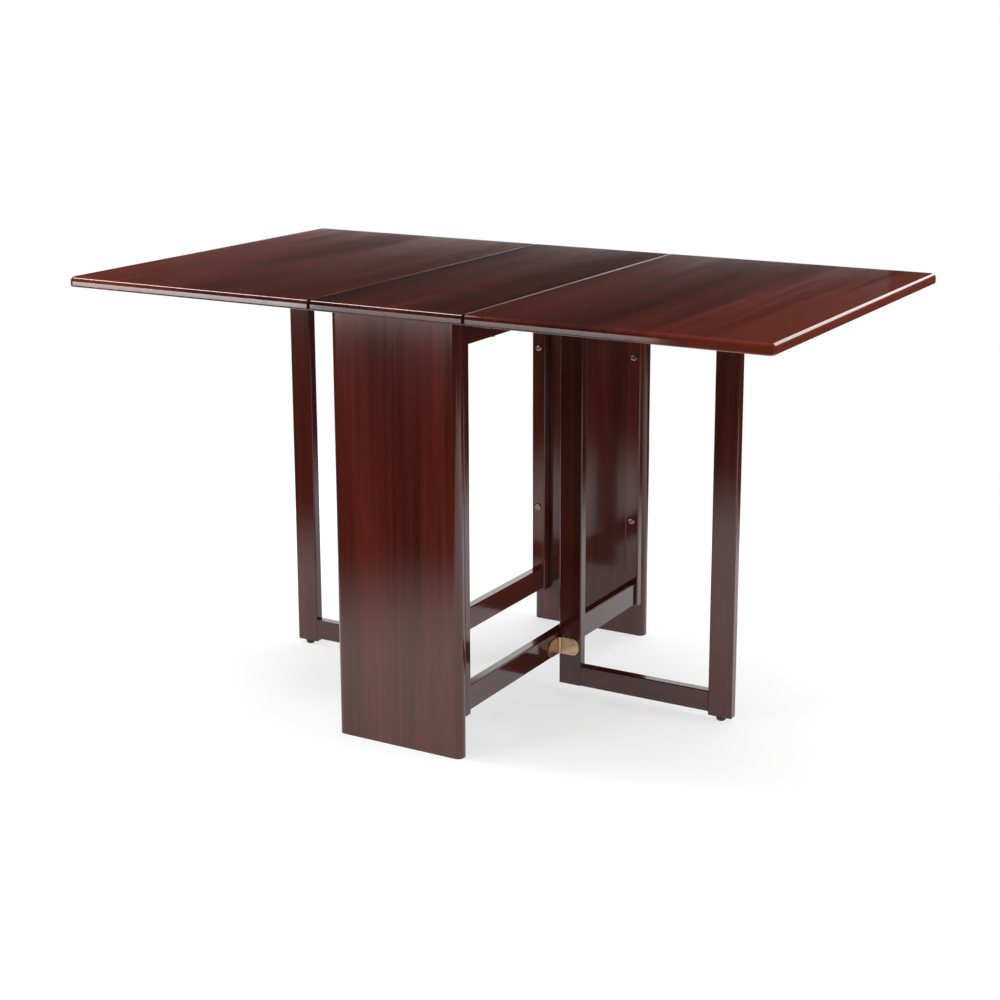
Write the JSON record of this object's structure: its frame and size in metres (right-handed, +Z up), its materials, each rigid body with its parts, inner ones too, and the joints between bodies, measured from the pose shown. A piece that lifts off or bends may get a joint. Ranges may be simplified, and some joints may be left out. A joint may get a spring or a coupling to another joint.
{
  "type": "drop-leaf dining table",
  "caption": "Dark lacquered drop-leaf dining table: narrow fixed centre on end panels and side frames, hinged leaves carried by swing-out gate legs on brass hinges.",
  "frame": {"origin": "on the floor, under the middle of the top", "axes": "+X along the top towards the right leaf, +Y towards the rear end panel, +Z up"},
  "size_m": [1.304, 0.762, 0.745],
  "materials": {
    "dark_lacquered_wood": "dark reddish-brown stain under gloss lacquer",
    "aged_brass": "aged brass, satin",
    "plated_steel": "bronze-toned plated steel",
    "pale_dowel_wood": "raw hardwood",
    "dark_plastic": "dark brown moulded plastic"
  },
  "bodies": {
    "base": {"centre_top": "dark_lacquered_wood", "frame_dowels": "pale_dowel_wood", "front_end_panel": "dark_lacquered_wood", "gate_hinge_frame_screws": "aged_brass", "leaf_hinge_top_screws": "aged_brass", "left_front_post": "dark_lacquered_wood", "left_gate_hinge_frame_plates": "aged_brass", "left_gate_hinge_pins": "aged_brass", "left_leaf_hinge_pins": "aged_brass", "left_leaf_hinge_top_plates": "aged_brass", "left_rear_post": "dark_lacquered_wood", "left_stretcher": "dark_lacquered_wood", "left_top_rail": "dark_lacquered_wood", "post_bolts": "plated_steel", "rear_end_panel": "dark_lacquered_wood", "right_front_post": "dark_lacquered_wood", "right_gate_hinge_frame_plates": "aged_brass", "right_gate_hinge_pins": "aged_brass", "right_leaf_hinge_pins": "aged_brass", "right_leaf_hinge_top_plates": "aged_brass", "right_rear_post": "dark_lacquered_wood", "right_stretcher": "dark_lacquered_wood", "right_top_rail": "dark_lacquered_wood", "threaded_inserts": "plated_steel", "top_bolts": "plated_steel"},
    "right_leaf": {"right_leaf": "dark_lacquered_wood", "right_leaf_hinge_leaf_plates": "aged_brass", "right_leaf_hinge_screws": "aged_brass"},
    "left_leaf": {"left_leaf": "dark_lacquered_wood", "left_leaf_hinge_leaf_plates": "aged_brass", "left_leaf_hinge_screws": "aged_brass"},
    "right_gate": {"right_gate_dowels": "pale_dowel_wood", "right_gate_foot_glide": "dark_plastic", "right_gate_hinge_gate_plates": "aged_brass", "right_gate_hinge_screws": "aged_brass", "right_gate_hinge_stile": "dark_lacquered_wood", "right_gate_leg": "dark_lacquered_wood", "right_gate_lower_rail": "dark_lacquered_wood", "right_gate_upper_rail": "dark_lacquered_wood"},
    "left_gate": {"left_gate_dowels": "pale_dowel_wood", "left_gate_foot_glide": "dark_plastic", "left_gate_hinge_gate_plates": "aged_brass", "left_gate_hinge_screws": "aged_brass", "left_gate_hinge_stile": "dark_lacquered_wood", "left_gate_leg": "dark_lacquered_wood", "left_gate_lower_rail": "dark_lacquered_wood", "left_gate_upper_rail": "dark_lacquered_wood"}
  },
  "joints": [
    {"name": "right_gate_swing", "type": "hinge", "parent": "base", "child": "right_gate", "pos_m": [0.11355, 0, 0.395], "axis": [0, 0, -1], "range_deg": [0, 90]},
    {"name": "left_gate_swing", "type": "hinge", "parent": "base", "child": "left_gate", "pos_m": [-0.11355, 0, 0.395], "axis": [0, 0, -1], "range_deg": [0, 90]},
    {"name": "right_leaf_lift", "type": "hinge", "parent": "base", "child": "right_leaf", "pos_m": [0.1445, 0, 0.7242], "axis": [0, -1, 0], "range_deg": [0, 4]},
    {"name": "left_leaf_lift", "type": "hinge", "parent": "base", "child": "left_leaf", "pos_m": [-0.1445, 0, 0.7242], "axis": [0, 1, 0], "range_deg": [0, 4]}
  ]
}
